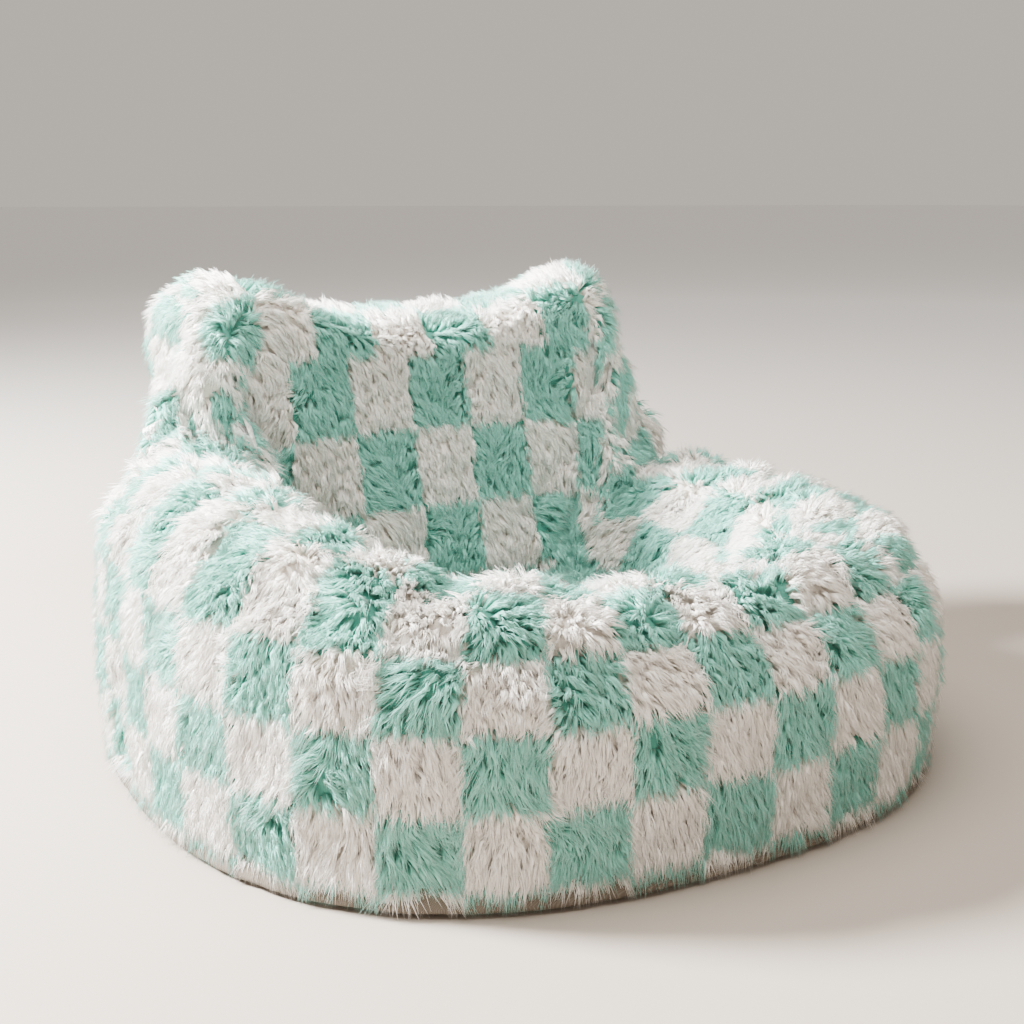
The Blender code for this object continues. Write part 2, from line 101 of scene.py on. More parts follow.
# The printed check: sizes of its squares, and where each region's rows and columns are counted from
COLUMNS_ROUND = 38
COLUMN_PHASE = 0.37
WALL_FIRST_ROW = 0.043
WALL_ROW = 0.080
RIM_SQUARE = 0.086
BACK_SQUARE = 0.088
BACK_EDGE_X = 0.057
BACK_ROW = 0.108
BACK_FIRST_ROW = 0.098
WALL_COUNT, RIM_COUNT, BACK_COUNT, SEAT_COUNT = 11, 14, 20, (20.4, 20.2)
WHITE_CELL, MINT_CELL = (0.5, 0.5), (0.5, 1.5)

# The middles of the two raised corners, and the mint tuft on the left one with white beside it
EARS = ((-0.284, 0.224, 0.526), (0.262, 0.235, 0.545))
TUFT_RADIUS = 0.050
WHITE_RADIUS = 0.082

# The zips, which lie in the seam at x = 0 beyond REAR_Y
REAR_Y = 0.3
ZIP_CHAIN_HALF_WIDTH = 0.0030
ZIP_TOOTH_PITCH = 0.0024
SEAM_OPENING = 0.0075
CHANNEL = 0.0095
LINER_SLIT = 0.004

# Pile
LOCKS = 48_000
LOCK_SIZE = 7
LOCK_RADIUS = 0.0038
PILE_LENGTH = 0.033
STRAND_WIDTH = 0.00050
CORE_WIDTH = 0.0036
CORE_LENGTH_SHARE = 0.70
STRAND_SIDES = 3
STRAND_LEVELS = ((0.0, 1.0), (0.50, 0.80))
EDGE_DENSITY = 2.5
EDGE_CELLS = 3
MOST_STRANDS = 14_000

# How strongly the pile parts from the middle of its square and swirls, in mint and in white, is
# drawn outward over the rim, and is drawn away from the middle of a raised corner
PARTING = (0.8, 0.35)
SWIRL = (0.42, 0.22)
OUTWARD_PULL = 0.7
EAR_PULL, EAR_REACH = 2.2, 0.06

# Pile colours at root, middle and tip: the darker roots are painted shade deep in the pile, between the
# strands
MINT_ROOT_PAINTED_SHADE = (0.085, 0.370, 0.300)
MINT_BODY = (0.210, 0.580, 0.495)
MINT_TIP = (0.370, 0.750, 0.670)
WHITE_ROOT_PAINTED_SHADE = (0.900, 0.850, 0.785)
WHITE_BODY = (0.955, 0.930, 0.890)
WHITE_TIP = (0.980, 0.970, 0.950)

# The stage. Each light is a name, place, size, power and colour
FLOOR_HALF_SIZE = 150
LIGHT_AIM = (0, 0, 0.25)
LIGHTS = (
    ("key", (-2.8, 1.7, 2.4), 0.9, 2000, (1.0, 0.98, 0.95)),
    ("top", (-0.6, -0.4, 3.4), 3.0, 230, (1.0, 0.94, 0.86)),
    ("fill", (-0.6, -3.2, 1.2), 2.6, 22, (1.0, 0.74, 0.52)),
)
WORLD_COLOUR = (0.86, 0.79, 0.71, 1)
WORLD_STRENGTH = 0.72
CAMERA_DISTANCE, CAMERA_HEIGHT = 1.8, 0.69
CAMERA_TURN, CAMERA_PITCH = math.radians(30), math.radians(12.375)


def smooth(x, low, high):
    u = np.clip((x - low) / (high - low), 0, 1)
    return u * u * (3 - 2 * u)


def bump(x, middle, width):
    return np.exp(-(((x - middle) / width) ** 2))


def mix(front, rear, share):
    return front * (1 - share) + rear * share


def unit(vectors):
    return vectors / np.maximum(np.linalg.norm(vectors, axis=-1, keepdims=True), 1e-12)


def dot(a, b):
    return (a * b).sum(-1, keepdims=True)


def back_face_y(z):
    return BACK_FOOT_Y + (z - SEAT_HEIGHT) * math.tan(BACK_LEAN)


def front_rings(rim):
    """Inset from the widest outline, height and squareness of each ring at the front and sides."""
    flat = 0 * rim
    inner = rim - 0.055
    drop = inner - SEAT_HEIGHT
    return [
        (0.018, flat, 2.5),
        (0.005, BASE_EDGE_HEIGHT + flat, 2.5),
        (0.001, LOW_WALL_HEIGHT + flat, 2.55),
        (0.000, BULGE_HEIGHT + flat, 2.55),
        (0.008, 0.72 * rim, 2.55),
        (0.11 * RIM_WIDTH, rim - 0.042, 2.6),
        (0.25 * RIM_WIDTH, rim - 0.008, 2.6),
        (0.45 * RIM_WIDTH, rim, 2.6),
        (0.65 * RIM_WIDTH, rim - 0.012, 2.7),
        (0.81 * RIM_WIDTH, inner, 2.8),
        (0.93 * RIM_WIDTH, SEAT_HEIGHT + 0.58 * drop, 2.9),
        (1.00 * RIM_WIDTH, SEAT_HEIGHT + 0.28 * drop, 3.0),
        (1.09 * RIM_WIDTH, SEAT_HEIGHT + flat, 3.0),
    ]


def rear_rings(top):
    """Half width, half depth, height, squareness and corner swell of each ring at the back."""
    flat = 0 * top
    brow = back_face_y(top - 0.035)
    crown = brow + 0.38 * BACK_THICKNESS
    rear_bend = crown + 0.50 * BACK_THICKNESS
    rear_brow = crown + 0.32 * BACK_THICKNESS
    low_z = mix(SEAT_HEIGHT, BACK_HEIGHT, 0.33)
    middle_z = mix(SEAT_HEIGHT, BACK_HEIGHT, 0.67)
    half = BACK_HALF_WIDTH
    return [
        (HALF_WIDTH - 0.018, HALF_DEPTH - 0.010, flat, 2.5, 0),
        (HALF_WIDTH - 0.005, HALF_DEPTH, BASE_EDGE_HEIGHT + flat, 2.5, 0),
        (HALF_WIDTH - 0.001, HALF_DEPTH, LOW_WALL_HEIGHT + flat, 2.55, 0),
        (HALF_WIDTH, HALF_DEPTH, BULGE_HEIGHT + flat, 2.55, 0),
        (HALF_WIDTH - 0.022, HALF_DEPTH, REAR_SHOULDER_HEIGHT + flat, 2.55, 0),
        (half + 0.085, HALF_DEPTH, REAR_WALL_TOP + flat, 3.0, 0.50 * CORNER_SWELL),
        (half + 0.020, rear_bend, REAR_BEND_HEIGHT + flat, 7.0, CORNER_SWELL),
        (half + 0.014, rear_brow, top - 0.030, 7.0, 0.85 * CORNER_SWELL),
        (half, crown, top, 6.0, 0.30 * CORNER_SWELL),
        (half - 0.018, brow, top - 0.035, 6.0, 0),
        (half - 0.030, back_face_y(middle_z), middle_z + flat, 6.0, 0),
        (half - 0.068, back_face_y(low_z), low_z + flat, 6.0, 0),
        (half - 0.110, BACK_FOOT_Y, SEAT_HEIGHT + flat, 5.0, 0),
    ]


def ring_points(turn, half_x, half_y, power, swell, z):
    across = np.abs(np.sin(turn) / half_x) ** power
    along = np.abs(np.cos(turn) / half_y) ** power
    reach = (across + along) ** (-1 / power) + swell
    return np.stack([reach * np.sin(turn), -reach * np.cos(turn), z + 0 * turn], -1)


def wall_rings(turn):
    degrees = np.degrees(np.abs(turn))
    middle_arm = (LEFT_ARM_HEIGHT + RIGHT_ARM_HEIGHT) / 2
    arm = middle_arm + (RIGHT_ARM_HEIGHT - LEFT_ARM_HEIGHT) / 2 * np.sin(turn)
    rim = FRONT_HEIGHT + (arm - FRONT_HEIGHT) * smooth(degrees, RIM_START, ARM_FULL)
    top = BACK_HEIGHT + EAR_RISE * bump(degrees, EAR_ANGLE, PEAK_WIDTH)
    corner = bump(degrees, CORNER_ANGLE, PEAK_WIDTH)
    wall_share = smooth(degrees, ARM_END - 9, BACK_EDGE + 11)
    back_share = smooth(degrees, ARM_END, BACK_EDGE)
    rows = []
    for index, (front, rear) in enumerate(zip(front_rings(rim), rear_rings(top))):
        share = wall_share if index <= 5 else back_share
        inset, front_z, front_power = front
        rear_x, rear_y, rear_z, rear_power, swell = rear
        half_x = mix(HALF_WIDTH - inset, rear_x, share)
        half_y = mix(HALF_DEPTH - inset, rear_y, share)
        power = mix(front_power, rear_power, share)
        z = mix(front_z, rear_z, share)
        rows.append(ring_points(turn, half_x, half_y, power, swell * corner, z))
    return rows


def surface(turn):
    """The outer surface as rows of points, from the middle of the base to the middle of the seat."""
    wall = wall_rings(turn)
    base = [wall[0] * share for share in (0.0, 0.55)]
    seat = []
    for share, drop in ((0.69, 0.012), (0.36, 0.015), (0.0, 0.016)):
        half_x = max(share, 1e-6) * (HALF_WIDTH - 1.09 * RIM_WIDTH)
        half_y = max(share, 1e-6) * (HALF_DEPTH - 1.09 * RIM_WIDTH)
        seat.append(ring_points(turn, half_x, half_y, 2.4, 0, SEAT_HEIGHT - drop))
    return np.stack(base + wall + seat)


def spline_rows(points, rows):
    """The surface at any rows, smoothly between its own."""
    low = np.clip(np.floor(rows).astype(int), 0, len(points) - 2)
    u = (rows - low)[:, None, None]
    before = points[np.maximum(low - 1, 0)]
    here, after = points[low], points[low + 1]
    beyond = points[np.minimum(low + 2, len(points) - 1)]
    bend = 2 * here + (after - before) * u + (2 * before - 5 * here + 4 * after - beyond) * u**2
    return (bend + (3 * here - before - 3 * after + beyond) * u**3) / 2


def normals_of(points):
    """Outward directions on a grid whose first and last columns meet."""
    ahead = np.roll(points[:, :-1], -1, 1)
    behind = np.roll(points[:, :-1], 1, 1)
    around = np.concatenate([ahead - behind, (ahead - behind)[:, :1]], 1)
    return unit(np.cross(around, np.gradient(points, axis=0)))


def line_of(row):
    """The line of the grid on which a row of the surface falls."""
    return (row - BASE_ROW) * ROW_STEPS


# The grid that everything soft is made on, with closer columns at the rear seam
SEAM_STEPS = np.array((0, 0.004, 0.008, 0.012, 0.017)) / HALF_DEPTH
EVEN = np.linspace(-math.pi + 0.056, math.pi - 0.056, 280)
TURNS = np.concatenate([-math.pi + SEAM_STEPS, EVEN, math.pi - SEAM_STEPS[::-1]])
ROWS = np.arange(BASE_ROW * ROW_STEPS, LAST_ROW * ROW_STEPS + 1) / ROW_STEPS
TIPS = spline_rows(surface(TURNS), ROWS)
TIPS[-1] = TIPS[-1].mean(0)
OUTWARD = normals_of(TIPS)
OUTWARD[-1] = (0, 0, 1)
DEGREES = np.degrees(TURNS)


def lengths_along(points, axis):
    step = np.linalg.norm(np.diff(points, axis=axis), axis=-1)
    return np.concatenate([np.zeros_like(np.take(step, [0], axis)), np.cumsum(step, axis)], axis)


# Lengths along the surface: up from the base, round the widest line, sideways from the middle of the
# back, in from the rim seam and out from the seat
UP_WALL = lengths_along(TIPS, 0)
ACROSS = lengths_along(TIPS, 1)
AROUND = ACROSS[line_of(BULGE_ROW)]
BACK_X = np.where(DEGREES < 0, -ACROSS, ACROSS[:, -1:] - ACROSS)
OVER_RIM = UP_WALL - UP_WALL[line_of(RIM_ROW)]
FROM_SEAT = UP_WALL[line_of(SEAT_ROW)] - UP_WALL


def waves(points, length, seed, count=10):
    """Smooth noise of about unit size, with features of about this length."""
    rng = np.random.default_rng(seed)
    ways = unit(rng.normal(size=(count, 3))) * 2 * math.pi / length
    ways *= rng.uniform(0.6, 1.5, (count, 1))
    return np.sin(points @ ways.T + rng.uniform(0, 2 * math.pi, count)).sum(-1) / math.sqrt(count / 2)


def columns_at(around):
    """Columns of the check at these lengths round the widest line."""
    return around / AROUND[-1] * COLUMNS_ROUND - COLUMN_PHASE


def check_cells(row, degrees, points, around, back_x, up_wall, over_rim, from_seat):
    """Column and row of the printed check at each point, as numbers whose whole part is the square."""
    line = TIPS[line_of(BULGE_ROW)]
    columns = columns_at(AROUND)
    front = np.abs(DEGREES) < 75
    right = (DEGREES > 30) & (DEGREES < 140)
    wall = row < RIM_ROW
    lobe = (row < CROWN_ROW) & (np.abs(degrees) > BACK_SEAM)
    back = ~wall & ~lobe & (np.abs(degrees) > BACK_SEAM - 10 * (row > CROWN_ROW)) & (row < SEAT_ROW)
    rim = ~wall & (np.abs(degrees) < ARM_SEAM) & (row < SEAT_ROW)
    arm = ~wall & ~lobe & ~back & ~rim & (row < SEAT_ROW)
    x, y = points[..., 0], points[..., 1]
    u = columns_at(around)
    v = (up_wall - WALL_FIRST_ROW) / WALL_ROW + WALL_COUNT
    above = over_rim / RIM_SQUARE + RIM_COUNT
    u = np.where(rim & (x > 0), np.interp(x, line[front, 0], columns[front]), u)
    u = np.where(arm & (x > 0), np.interp(y, line[right, 1], columns[right]), u)
    u = np.where(back, (back_x - BACK_EDGE_X) / BACK_SQUARE + BACK_COUNT, u)
    v = np.where(rim | arm, above, v)
    v = np.where(back, BACK_COUNT - (from_seat - BACK_FIRST_ROW) / BACK_ROW, v)
    u = np.where(back & (v < BACK_COUNT - 2), u + 0.5, u)
    seat = row >= SEAT_ROW
    u = np.where(seat, x / RIM_SQUARE + SEAT_COUNT[0], u)
    v = np.where(seat, y / RIM_SQUARE + SEAT_COUNT[1], v)
    ear = np.linalg.norm(points - np.array(EARS[0]), axis=-1)
    beside = ~wall & (ear < WHITE_RADIUS) & (x < EARS[0][0]) & (y < 0.36)
    for where, cell in ((beside, WHITE_CELL), (ear < TUFT_RADIUS, MINT_CELL)):
        u, v = np.where(where, cell[0], u), np.where(where, cell[1], v)
    return u, v


def is_mint(u, v):
    return (np.floor(u) + np.floor(v)) % 2 == 1


def on_grid(values, row, column):
    """Values of the grid at places given in grid steps."""
    r = np.clip(row, 0, values.shape[0] - 1.001)
    c = np.clip(column, 0, values.shape[1] - 1.001)
    r0, c0 = r.astype(int), c.astype(int)
    a, b = r - r0, c - c0
    if values.ndim == 3:
        a, b = a[:, None], b[:, None]
    low = values[r0, c0] * (1 - b) + values[r0, c0 + 1] * b
    high = values[r0 + 1, c0] * (1 - b) + values[r0 + 1, c0 + 1] * b
    return low * (1 - a) + high * a


def seam_distance():
    """How far each grid point lies from the nearest seam, in metres."""
    rows, degrees = np.meshgrid(ROWS, DEGREES, indexing="ij")
    per_degree = np.linalg.norm(TIPS[..., :2], axis=-1) * math.pi / 180
    far = np.full(rows.shape, 1.0)

    def near(distance, where):
        far[where] = np.minimum(far, distance)[where]

    rim_seam = (np.abs(degrees) < BACK_SEAM) | (rows < RIM_ROW)
    near(np.abs(OVER_RIM), rim_seam)
    crown = UP_WALL - UP_WALL[line_of(CROWN_ROW)]
    near(np.abs(crown), np.abs(degrees) >= BACK_SEAM - 2)
    near(np.abs(FROM_SEAT), rows > 0)
    near(np.abs(np.abs(degrees) - SIDE_SEAM) * per_degree, rows <= RIM_ROW)
    near(np.abs(np.abs(degrees) - ARM_SEAM) * per_degree, (rows >= RIM_ROW) & (rows <= SEAT_ROW))
    near(np.abs(np.abs(degrees) - BACK_SEAM) * per_degree, (rows >= RIM_ROW) & (rows <= SEAT_ROW))
    near((180 - np.abs(degrees)) * per_degree, rows <= CROWN_ROW)
    return far


# Where the backing laps the zip's tapes: 1 beside the zip, 0 away from it
BY_ZIP = (1 - smooth(np.abs(TIPS[..., 0]), 0.018, 0.040)) * (TIPS[..., 1] > REAR_Y)
BY_ZIP = BY_ZIP * smooth(UP_WALL, 0.034, 0.046) * (1 - smooth(TIPS[..., 2], 0.400, 0.430))

# Creases on both sides, as rows and degrees along their paths; pinches as degrees, row, radius and depth
CREASES = (
    ((8.25, 133), (8.96, 124), (9.3, 120.5), (9.0, 101), (8.5, 87)),
    ((9.3, 120.5), (10.0, 120.2), (12.7, 132), (13.4, 143)),
)
PINCHES = ((-121, 9.0, 0.030, 0.012), (-112, 8.3, 0.028, 0.012), (122, 9.0, 0.030, 0.010))


def skin_points():
    """The backing of the pile: below the tips, puffed between seams, gathered over the rim and creased."""
    rows, degrees = np.meshgrid(ROWS, DEGREES, indexing="ij")
    seam = seam_distance()
    depth = SKIN_DEPTH + 0.006 * np.exp(-((seam / 0.014) ** 2)) - 0.003 * smooth(seam, 0.02, 0.08)
    on_rim = smooth(rows, RIM_ROW - 0.6, RIM_ROW + 0.4) * (1 - smooth(rows, SEAT_ROW - 3, SEAT_ROW - 1))
    on_rim *= 1 - smooth(np.abs(degrees), 116, 128)
    gathers = np.abs(np.sin(columns_at(AROUND) * math.pi + 0.35 * waves(TIPS, 0.30, 3)))
    near_seam = np.exp(-((OVER_RIM / 0.075) ** 2))
    depth = depth + on_rim * (0.009 * near_seam * (0.62 - gathers) - 0.0035 * waves(TIPS, 0.11, 4))
    depth = depth - 0.0018 * waves(TIPS, 0.075, 5)
    for angle, row, radius, sink in PINCHES:
        column = np.argmin(np.abs(DEGREES - angle))
        middle = TIPS[np.argmin(np.abs(ROWS - row)), column]
        apart = TIPS - middle
        far = np.linalg.norm(apart, axis=-1)
        spokes = np.cos(5 * np.arctan2(apart[..., 2], apart[..., 1]) + 1.3)
        depth = depth + sink * np.exp(-((far / radius) ** 2))
        depth = depth + 0.006 * spokes * np.exp(-((far / (2.4 * radius)) ** 2)) * smooth(far, 0, radius)
    for path in CREASES:
        corners = np.arange(len(path))
        between = np.linspace(0, len(path) - 1, 30)
        row = line_of(np.interp(between, corners, [corner[0] for corner in path]))
        path_degrees = np.interp(between, corners, [corner[1] for corner in path])
        for side in (-1, 1):
            column = np.interp(side * path_degrees, DEGREES, np.arange(len(DEGREES)))
            points = on_grid(TIPS, row, column)
            far = np.min(np.linalg.norm(TIPS[:, :, None] - points, axis=-1), -1)
            depth = depth + CREASE_DEPTH * np.exp(-((far / 0.013) ** 2))
    depth = depth + 0.005 * smooth(OUTWARD[..., 2], 0.4, 0.95)
    edge = smooth(UP_WALL, 0.026, 0.060)
    depth = mix(0.004, depth, edge)
    depth = mix(depth, ZIP_LAP_DEPTH, BY_ZIP)
    points = TIPS - depth[..., None] * OUTWARD
    points[:, -1] = points[:, 0]
    points[-1] = points[-1].mean(0)
    return points


def grid_quads(count_r, count_c, closed=False):
    """The faces of a grid of points. A closed one shares the points of its first and last columns."""
    index = np.arange(count_r * count_c).reshape(count_r, count_c)
    if closed:
        index[:, -1] = index[:, 0]
    corners = [index[:-1, :-1], index[:-1, 1:], index[1:, 1:], index[1:, :-1]]
    return np.stack(corners, -1).reshape(-1, 4)


def filled(points):
    """Presses the fill against the cover: the panels swell and crease, and the seams stay put."""
    count_c = points.shape[1]
    quads = grid_quads(*points.shape[:2], closed=True)
    mesh = bpy.data.meshes.new("fill_pressure")
    mesh.from_pydata(points.reshape(-1, 3).tolist(), [], quads[: -(count_c - 1)].tolist())
    bag = bpy.data.objects.new("fill_pressure", mesh)
    bpy.context.scene.collection.objects.link(bag)
    held = bag.vertex_groups.new(name="seams")
    hold = np.exp(-((seam_distance() / 0.012) ** 2))
    hold[UP_WALL < 0.050] = 1
    hold[-8:] = 1
    hold = np.maximum(hold, BY_ZIP)
    for number, weight in enumerate(hold.ravel()):
        held.add([number], float(weight), "REPLACE")
    cloth = bag.modifiers.new("cloth", "CLOTH")
    settings = cloth.settings
    settings.quality = 5
    settings.mass = 0.4
    settings.tension_stiffness = settings.compression_stiffness = 12
    settings.shear_stiffness = 6
    settings.bending_stiffness = 0.4
    settings.shrink_min = -0.05
    settings.use_pressure = True
    settings.uniform_pressure_force = 4
    settings.vertex_group_mass = "seams"
    settings.effector_weights.gravity = 0
    scene = bpy.context.scene
    for number in range(1, 21):
        scene.frame_set(number)
    solved = bag.evaluated_get(bpy.context.evaluated_depsgraph_get())
    moved = np.empty(len(mesh.vertices) * 3)
    solved.data.vertices.foreach_get("co", moved)
    moved = moved.reshape(points.shape) - points
    moved[:, -1] = moved[:, 0]
    far = np.linalg.norm(moved, axis=-1, keepdims=True)
    moved = moved * np.minimum(1, MOST_SWELL / np.maximum(far, 1e-9))
    moved[0] = moved[-1] = 0
    scene.frame_set(1)
    bpy.data.objects.remove(bag)
    bpy.data.meshes.remove(mesh)
    return points + moved


SKIN = filled(skin_points())
SKIN_OUT = normals_of(SKIN)
SKIN_OUT[-1] = (0, 0, 1)


def new_object(name, mesh, body="bag"):
    piece = bpy.data.objects.new(name, mesh)
    bpy.context.scene.collection.objects.link(piece)
    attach(piece, body)
    return piece


def mesh_from(name, points, polygons):
    mesh = bpy.data.meshes.new(name)
    mesh.from_pydata(points.tolist(), [], polygons.tolist())
    mesh.polygons.foreach_set("use_smooth", [True] * len(mesh.polygons))
    mesh.update()
    return mesh


def weld(mesh, cap_below=None):
    """Joins points that coincide, and closes the open edges that lie below this height."""
    bm = bmesh.new()
    bm.from_mesh(mesh)
    bmesh.ops.remove_doubles(bm, verts=bm.verts[:], dist=1e-5)
    if cap_below is not None:
        low = [edge for edge in bm.edges if edge.is_boundary and edge.verts[0].co.z < cap_below]
        bmesh.ops.contextual_create(bm, geom=low)
    bm.to_mesh(mesh)
    bm.free()


def thicken(piece, thickness):
    """Gives a sheet of cloth its thickness, inward."""
    cloth = piece.modifiers.new("cloth", "SOLIDIFY")
    cloth.thickness = thickness
    cloth.offset = -1


# ---------------------------------------------------------------- materials


def new_material(name, roughness, metallic=0.0):
    material = bpy.data.materials.new(name)
    material.use_nodes = True
    shader = material.node_tree.nodes["Principled BSDF"]
    shader.inputs["Roughness"].default_value = roughness
    shader.inputs["Metallic"].default_value = metallic
    return material, material.node_tree, shader


def add_node(tree, kind, **settings):
    node = tree.nodes.new(kind)
    for name, value in settings.items():
        setattr(node, name, value)
    return node


def ramp(tree, factor, stops):
    node = add_node(tree, "ShaderNodeValToRGB")
    while len(node.color_ramp.elements) < len(stops):
        node.color_ramp.elements.new(0.5)
    for element, (place, colour) in zip(node.color_ramp.elements, stops):
        element.position = place
        element.color = (*colour, 1)
    tree.links.new(factor, node.inputs["Fac"])
    return node.outputs["Color"]


def attribute(tree, name):
    return add_node(tree, "ShaderNodeAttribute", attribute_name=name).outputs["Fac"]


def blend_colours(tree, factor, first, second, kind="MIX"):
    node = add_node(tree, "ShaderNodeMix", data_type="RGBA", blend_type=kind)
    for socket, value in (("Factor", factor), ("A", first), ("B", second)):
        target = next(s for s in node.inputs if s.name == socket and s.enabled)
        if isinstance(value, bpy.types.NodeSocket):
            tree.links.new(value, target)
        else:
            target.default_value = value if socket == "Factor" else (*value, 1)
    return next(s for s in node.outputs if s.enabled)


def fur_material(name, root, body, tip, shade):
    """Fibres painted darker towards the root as shade in the pile, and a little different from lock to lock.
    """
    material, tree, shader = new_material(name, 0.62)
    # Painted shade: the ramp darkens the fibres towards the root, deep in the pile
    along = ramp(tree, attribute(tree, "along"), ((0.0, root), (0.45, body), (1.0, tip)))
    tint = ramp(tree, attribute(tree, "tint"), ((0.0, shade), (0.5, (0.95, 0.95, 0.95)), (1.0, (1, 1, 1))))
    tree.links.new(blend_colours(tree, 1.0, along, tint, "MULTIPLY"), shader.inputs["Base Color"])
    shader.inputs["Sheen Weight"].default_value = 0.25
    shader.inputs["Sheen Roughness"].default_value = 0.4
    shader.inputs["Specular IOR Level"].default_value = 0.25
    return material


def skin_material():
    """The knitted backing between the roots, in the root colour of the pile there, dark as painted shade."""
    material, tree, shader = new_material("pile_backing", 0.95)
    mint = attribute(tree, "mint")
    # Painted shade: the backing takes the shaded root colours of the mint and white pile, so gaps in the pile
    # read as shade
    colour = ramp(tree, mint, ((0.35, WHITE_ROOT_PAINTED_SHADE), (0.65, MINT_ROOT_PAINTED_SHADE)))
    speckle = add_node(tree, "ShaderNodeTexNoise")
    speckle.inputs["Scale"].default_value = 420
    tufts = ramp(tree, speckle.outputs["Fac"], ((0.35, (0.82, 0.82, 0.82)), (0.65, (1.0, 1.0, 1.0))))
    tree.links.new(blend_colours(tree, 1.0, colour, tufts, "MULTIPLY"), shader.inputs["Base Color"])
    raised = add_node(tree, "ShaderNodeBump")
    raised.inputs["Distance"].default_value = 0.002
    tree.links.new(speckle.outputs["Fac"], raised.inputs["Height"])
    tree.links.new(raised.outputs["Normal"], shader.inputs["Normal"])
    return material


def woven_material(name, dark, light, thread, depth=0.0004):
    """A plain weave of threads this wide, over and under each other."""
    material, tree, shader = new_material(name, 0.9)
    place = add_node(tree, "ShaderNodeTexCoord").outputs["Object"]
    bands = []
    for way in ("X", "Y"):
        wave = add_node(tree, "ShaderNodeTexWave", bands_direction=way, wave_profile="SIN")
        wave.inputs["Scale"].default_value = 0.314 / thread
        wave.inputs["Distortion"].default_value = 0.6
        wave.inputs["Detail Scale"].default_value = 3
        tree.links.new(place, wave.inputs["Vector"])
        bands.append(wave.outputs["Fac"])
    weave = add_node(tree, "ShaderNodeMath", operation="MAXIMUM")
    for socket, band in zip(weave.inputs, bands):
        tree.links.new(band, socket)
    fibres = add_node(tree, "ShaderNodeTexNoise")
    fibres.inputs["Scale"].default_value = 90
    tree.links.new(place, fibres.inputs["Vector"])
    colour = ramp(tree, weave.outputs["Value"], ((0.3, dark), (0.9, light)))
    worn = ramp(tree, fibres.outputs["Fac"], ((0.3, (0.86, 0.86, 0.86)), (0.7, (1, 1, 1))))
    tree.links.new(blend_colours(tree, 1.0, colour, worn, "MULTIPLY"), shader.inputs["Base Color"])
    raised = add_node(tree, "ShaderNodeBump")
    raised.inputs["Distance"].default_value = depth
    tree.links.new(weave.outputs["Value"], raised.inputs["Height"])
    tree.links.new(raised.outputs["Normal"], shader.inputs["Normal"])
    return material


def tape_material(name, dark, light):
    """Woven zip tape with its row of teeth down the middle."""
    material = woven_material(name, dark, light, 0.0005)
    tree = material.node_tree
    shader = tree.nodes["Principled BSDF"]
    place = add_node(tree, "ShaderNodeTexCoord").outputs["Object"]
    apart = add_node(tree, "ShaderNodeSeparateXYZ")
    tree.links.new(place, apart.inputs[0])
    side = add_node(tree, "ShaderNodeMath", operation="ABSOLUTE")
    tree.links.new(apart.outputs["X"], side.inputs[0])
    chain = add_node(tree, "ShaderNodeMath", operation="LESS_THAN")
    chain.inputs[1].default_value = ZIP_CHAIN_HALF_WIDTH
    tree.links.new(side.outputs[0], chain.inputs[0])
    teeth = add_node(tree, "ShaderNodeTexWave", bands_direction="Z", wave_profile="SIN")
    teeth.inputs["Scale"].default_value = 0.314 / ZIP_TOOTH_PITCH
    tree.links.new(place, teeth.inputs["Vector"])
    tooth = ramp(tree, teeth.outputs["Fac"], ((0.25, [0.35 * c for c in dark]), (0.75, light)))
    cloth = shader.inputs["Base Color"].links[0].from_socket
    tree.links.new(blend_colours(tree, chain.outputs[0], cloth, tooth), shader.inputs["Base Color"])
    return material


def metal_material():
    """Satin nickel with fine rubbing marks."""
    material, tree, shader = new_material("satin_nickel", 0.3, 1.0)
    marks = add_node(tree, "ShaderNodeTexNoise")
    marks.inputs["Scale"].default_value = 700
    marks.inputs["Detail"].default_value = 6
    colour = ramp(tree, marks.outputs["Fac"], ((0.3, (0.50, 0.49, 0.47)), (0.7, (0.68, 0.67, 0.64))))
    tree.links.new(colour, shader.inputs["Base Color"])
    rough = add_node(tree, "ShaderNodeMapRange")
    rough.inputs["To Min"].default_value = 0.22
    rough.inputs["To Max"].default_value = 0.42
    tree.links.new(marks.outputs["Fac"], rough.inputs["Value"])
    tree.links.new(rough.outputs["Result"], shader.inputs["Roughness"])
    return material


# ---------------------------------------------------------------- skins


def panel_of(row, degrees):
    """The name of the panel at each row and angle."""
    side = np.where(degrees < 0, "left", "right")
    beyond = np.abs(degrees)
    lobe = (row < CROWN_ROW) & (beyond > BACK_SEAM)
    rear = ((row < RIM_ROW) & (beyond > SIDE_SEAM)) | ((row >= RIM_ROW) & lobe)
    names = np.where(beyond > BACK_SEAM, "back_rest", np.char.add(side, "_arm"))
    names = np.where(beyond < ARM_SEAM, "front_rim", names)
    names = np.where(row < RIM_ROW, "front_side", names)
    names = np.where(rear, np.char.add(side, "_rear"), names)
    return np.where(row >= SEAT_ROW, "seat", names)


PANELS = (
    "front_side", "left_rear", "right_rear", "front_rim", "left_arm", "right_arm", "back_rest", "seat",
)


def zip_opening(points):
    """True where the rear seam is open for the zip."""
    low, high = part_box("cover_zip_left_tape")
    inside = (np.abs(points[:, 0]) < SEAM_OPENING) & (points[:, 1] > REAR_Y)
    return inside & (points[:, 2] > low.z - 0.004) & (points[:, 2] < high.z + 0.004)


